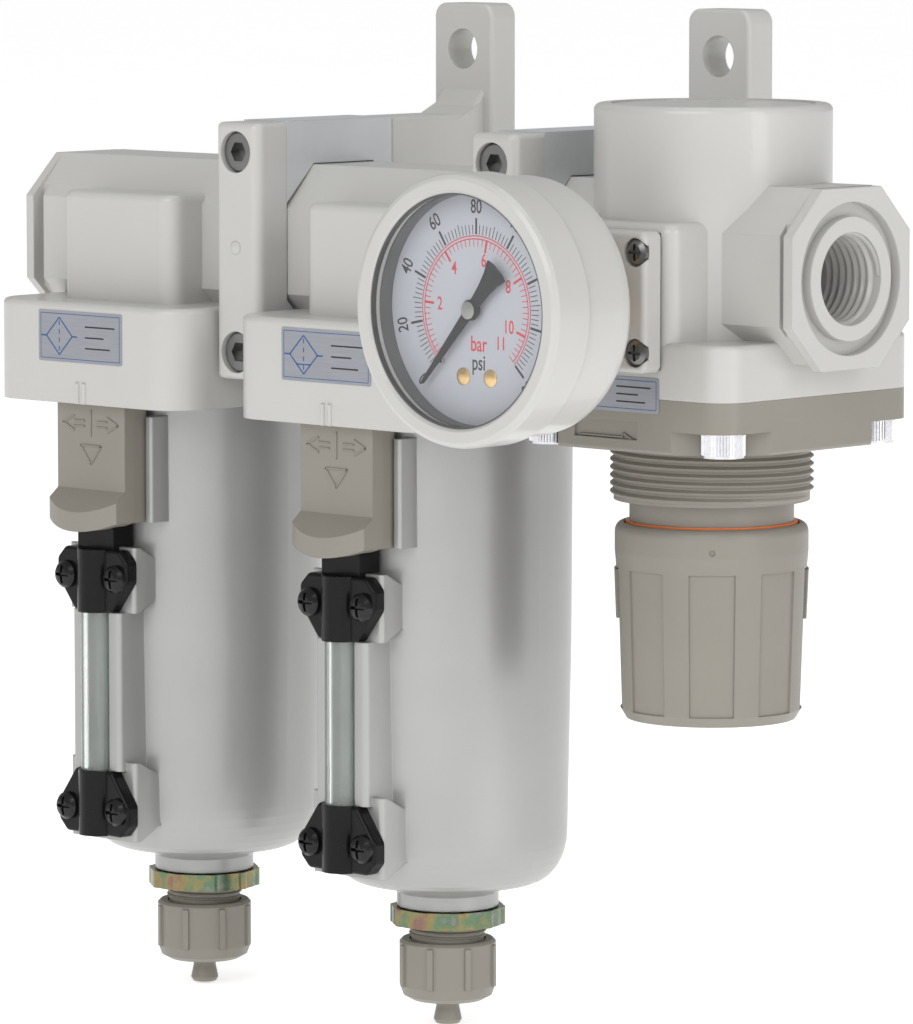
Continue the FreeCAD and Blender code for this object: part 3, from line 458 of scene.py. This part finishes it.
# ---- raised marks ----
def make_latch_marks():
    """Turn arrows each side of a centre line, and a press-down triangle, raised on the latch."""
    up, thick = (0, -1, 0), 0.22 * MM
    for unit, x in UNITS.items():
        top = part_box(f"{unit}_latch")[1].z

        def on_latch(px, pz):
            return Vector((x + px * MM, LATCH_FACE + 0.02 * MM, top + pz * MM))

        b = Builder()
        for side in (-1, 1):
            head = [(side * 5.2, -2.6), (side * 8.6, -4.2), (side * 5.2, -5.8)]
            strokes(b, head, 0.42, on_latch, up, thick)
            strokes(b, [(side * 1.9, -3.6), (side * 5.2, -3.6)], 0.35, on_latch, up, thick)
            strokes(b, [(side * 1.9, -4.8), (side * 5.2, -4.8)], 0.35, on_latch, up, thick)
        strokes(b, [(0, -1.2), (0, -7.0)], 0.4, on_latch, up, thick)
        triangle = [(-3.2, -9.0), (3.2, -9.0), (0, -13.0)]
        strokes(b, triangle, 0.42, on_latch, up, thick, closed=True)
        b.piece(f"{unit}_latch_marks", BODY_OF[f"{unit}_latch"], MATS["taupe_plastic"], "taupe_plastic")


def make_bonnet_arrow():
    up = (0, -1, 0)
    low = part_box("regulator_bonnet")[1].z - 8.75 * MM

    def on_bonnet(px, pz):
        return Vector((REG_X + px * MM, BONNET_FACE + 0.5 * MM, low + pz * MM))

    b = Builder()
    outline = [(-9.6, -0.55), (2.0, -0.55), (2.0, -1.35), (4.9, 0), (2.0, 1.35), (2.0, 0.55), (-9.6, 0.55)]
    strokes(b, outline, 0.32, on_bonnet, up, 0.35 * MM, closed=True)
    b.piece("flow_arrow", BODY_OF["regulator_bonnet"], MATS["taupe_plastic"], "taupe_plastic")


def make_clamp_marks():
    for i in (1, 2):
        node = f"clamp_front_{i}"
        lo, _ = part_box(node)
        b = Builder()
        round_disc(b, (centre_x(node), lo.y + 0.05 * MM, 1.0 * MM), 1.5 * MM, 0.25 * MM, (0, -1, 0), 0.5)
        b.piece(f"clamp_mark_{i}", BODY_OF[node], MATS["body_paint"], "body_paint", smooth=50)


# ---- labels: blank plates with the generic circuit symbol of each unit ----
def rounded_outline(half_w, half_h, radius, at, steps=5):
    pts = []
    for cx, cz, start in ((1, 1, 0), (-1, 1, 90), (-1, -1, 180), (1, -1, 270)):
        for i in range(steps + 1):
            a = math.radians(start + 90 * i / steps)
            pts.append(at(cx * (half_w - radius) + radius * math.cos(a),
                          cz * (half_h - radius) + radius * math.sin(a)))
    return pts


def make_label(name, x, z, face_y, half_w, half_h, body, kind):
    up = (0, -1, 0)

    def at(px, pz):
        return Vector((x + px * MM, face_y + 0.01 * MM, z + pz * MM))

    def above(px, pz):
        return at(px, pz) + Vector((0, -0.15 * MM, 0))

    plate = Builder()
    plate.slab(rounded_outline(half_w, half_h, 0.5, at), up, 0.15 * MM)
    plate.piece(f"{name}_label", body, LOOKS["label_silver"], "spacer_aluminium")
    ink = Builder()
    strokes(ink, [(-half_w + 0.7, -half_h + 0.7), (half_w - 0.7, -half_h + 0.7), (half_w - 0.7, half_h - 0.7),
                  (-half_w + 0.7, half_h - 0.7)], 0.16, above, up, INK, closed=True)
    size = min(half_h * 0.62, 3.4)
    cx = -half_w * 0.5
    if kind == "regulator":
        symbol = [(cx - size, -size), (cx + size, -size), (cx + size, size), (cx - size, size)]
        strokes(ink, [(cx - size, 0.9), (cx + size, 0.9)], 0.3, above, up, INK)
        arrow = [(cx + size - 1.6, 1.7), (cx + size - 0.3, 0.9), (cx + size - 1.6, 0.1)]
        strokes(ink, arrow, 0.3, above, up, INK)
    else:
        symbol = [(cx - size * 1.2, 0), (cx, -size * 1.2), (cx + size * 1.2, 0), (cx, size * 1.2)]
        for k in range(4):
            z0 = size * (1.0 - 0.55 * k)
            strokes(ink, [(cx, z0), (cx, z0 - size * 0.3)], 0.3, above, up, INK)
        if kind == "mist":
            drain_line = [(cx - size * 0.6, -size * 0.6), (cx + size * 0.6, -size * 0.6)]
            strokes(ink, drain_line, 0.3, above, up, INK)
    strokes(ink, symbol, 0.34, above, up, INK, closed=True)
    for side in (-1, 1):
        reach = size if kind == "regulator" else size * 1.2
        strokes(ink, [(cx + side * reach, 0), (cx + side * (reach + 1.6), 0)], 0.34, above, up, INK)
    ink.piece(f"{name}_label_symbol", body, LOOKS["print_blue"], "pointer_black")
    rules = Builder()
    for k, share in enumerate((0.95, 0.6, 0.8)):
        pz = half_h * (0.42 - 0.42 * k)
        strokes(rules, [(half_w * 0.12, pz), (half_w * (0.12 + 0.75 * share), pz)], 0.32, above, up, INK)
    rules.piece(f"{name}_label_rules", body, LOOKS["print_black"], "pointer_black")


def make_labels():
    for unit, x in UNITS.items():
        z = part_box(f"{unit}_body")[0].z + 14.6 * MM
        make_label(unit, x, z, LABEL_FACE + 0.5 * MM, 13.1, 5.6, BODY_OF[f"{unit}_body"], unit)
    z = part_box("regulator_bonnet")[1].z + 0.6 * MM
    make_label("regulator", REG_X - 1.0 * MM, z, BONNET_FACE, 13.0, 3.6, BODY_OF["regulator_body"],
               "regulator")


# ---- knurled screw heads ----
def make_knurls():
    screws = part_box("bonnet_screws")
    cx = (screws[0].x + screws[1].x) / 2
    cy = (screws[0].y + screws[1].y) / 2
    half_x = (screws[1].x - screws[0].x) / 2 - 4.3 * MM
    half_y = (screws[1].y - screws[0].y) / 2 - 4.3 * MM
    low = screws[0].z
    b = Builder()
    ridges = 44
    for sx in (-1, 1):
        for sy in (-1, 1):
            centre = Vector((cx + sx * half_x, cy + sy * half_y, 0))
            for i in range(ridges):
                a = 2 * math.pi * i / ridges
                out = Vector((math.cos(a), math.sin(a), 0))
                side = Vector((-out.y, out.x, 0)) * 0.17 * MM
                foot = centre + out * 4.27 * MM
                tip = centre + out * 4.48 * MM
                base = [foot - side, tip, foot + side]
                verts = [Vector((p.x, p.y, low + height)) for height in (0.5 * MM, 4.6 * MM) for p in base]
                b.add(verts, [(0, 1, 2), (5, 4, 3), (0, 3, 4, 1), (1, 4, 5, 2), (2, 5, 3, 0)])
    b.piece("bonnet_screw_knurls", BODY_OF["bonnet_screws"], LOOKS["bright_zinc"], "stainless")


# ---- stage ----
def make_stage():
    floor_z = cad_box[0].z - 0.5 * MM
    mesh = bpy.data.meshes.new("floor")
    half = 12.0
    corners = [(-half, -half), (half, -half), (half, half), (-half, half)]
    mesh.from_pydata([(x, y, floor_z) for x, y in corners], [], [(0, 1, 2, 3)])
    glow = [("Emission Color", (1, 1, 1, 1)), ("Emission Strength", 0.6)]
    mesh.materials.append(node_material("floor_paper", (0.93, 0.93, 0.93), 0.9, vary=0.005, scale=3.0,
                                        bump=0.02, bump_scale=200, settings=glow))
    floor = bpy.data.objects.new("floor", mesh)
    bpy.context.scene.collection.objects.link(floor)


def area_light(name, place, target, size, power, tint=(1, 1, 1)):
    data = bpy.data.lights.new(name, "AREA")
    data.shape = "RECTANGLE"
    data.size, data.size_y = size
    data.energy = power
    data.color = tint
    obj = bpy.data.objects.new(name, data)
    obj.location = place
    obj.rotation_mode = "QUATERNION"
    obj.rotation_quaternion = (Vector(place) - Vector(target)).to_track_quat("Z", "Y")
    bpy.context.scene.collection.objects.link(obj)


def make_lights():
    world = bpy.data.worlds.new("studio")
    world.use_nodes = True
    world.node_tree.nodes["Background"].inputs["Color"].default_value = (1, 1, 1, 1)
    world.node_tree.nodes["Background"].inputs["Strength"].default_value = 0.42
    bpy.context.scene.world = world
    middle = (cad_box[0] + cad_box[1]) / 2
    area_light("key", (0.55, -1.4, 0.8), middle, (1.2, 1.0), 11.5)
    area_light("side", (1.7, -0.1, 0.5), middle, (0.5, 1.2), 7.0)
    area_light("top", (0.1, 0.2, 1.6), middle, (1.2, 0.8), 5.0)


def make_camera():
    data = bpy.data.cameras.new("camera")
    data.lens = 225.1
    data.sensor_width = 36.0
    data.clip_start, data.clip_end = 0.05, 60.0
    cam = bpy.data.objects.new("camera", data)
    azimuth, elevation = math.radians(43.36), math.radians(6.0)
    back = Vector((math.sin(azimuth) * math.cos(elevation), -math.cos(azimuth) * math.cos(elevation),
                   math.sin(elevation)))
    cam.location = (1.05041, -0.99097, 0.08814)
    cam.rotation_mode = "QUATERNION"
    cam.rotation_quaternion = back.to_track_quat("Z", "Y")
    bpy.context.scene.collection.objects.link(cam)
    bpy.context.scene.camera = cam


make_camera()
make_lights()
make_stage()
finish_cad_nodes()
make_dial()
make_bezel_wall()
make_threads()
make_latch_marks()
make_bonnet_arrow()
make_clamp_marks()
make_labels()
make_knurls()
bpy.context.scene.view_settings.view_transform = "Standard"

bpy.context.view_layer.update()
